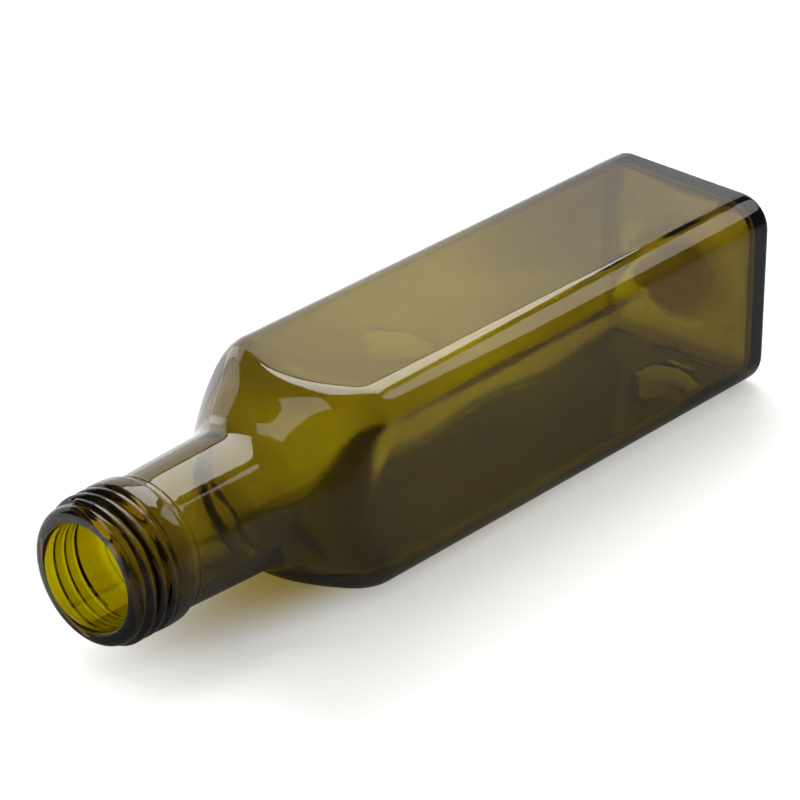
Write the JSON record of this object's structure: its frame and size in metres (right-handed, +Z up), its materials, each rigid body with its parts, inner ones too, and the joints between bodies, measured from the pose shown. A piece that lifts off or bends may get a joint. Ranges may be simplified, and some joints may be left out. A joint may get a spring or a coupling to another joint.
{
  "type": "square glass bottle",
  "caption": "Empty square glass bottle with rounded edges, sloping round shoulder, short neck and screw-thread mouth, lying on one flat side.",
  "frame": {"origin": "centre of the enclosing box in plan, on the surface the bottle lies on", "axes": "+X from the mouth to the base along the long axis, +Z up from the flat side it lies on, +Y across"},
  "size_m": [0.1914, 0.0466, 0.0465],
  "materials": {
    "olive_glass": "clear transparent olive green soda-lime glass, smooth moulded surface"
  },
  "bodies": {
    "root": {"bottle": "olive_glass"}
  },
  "joints": []
}
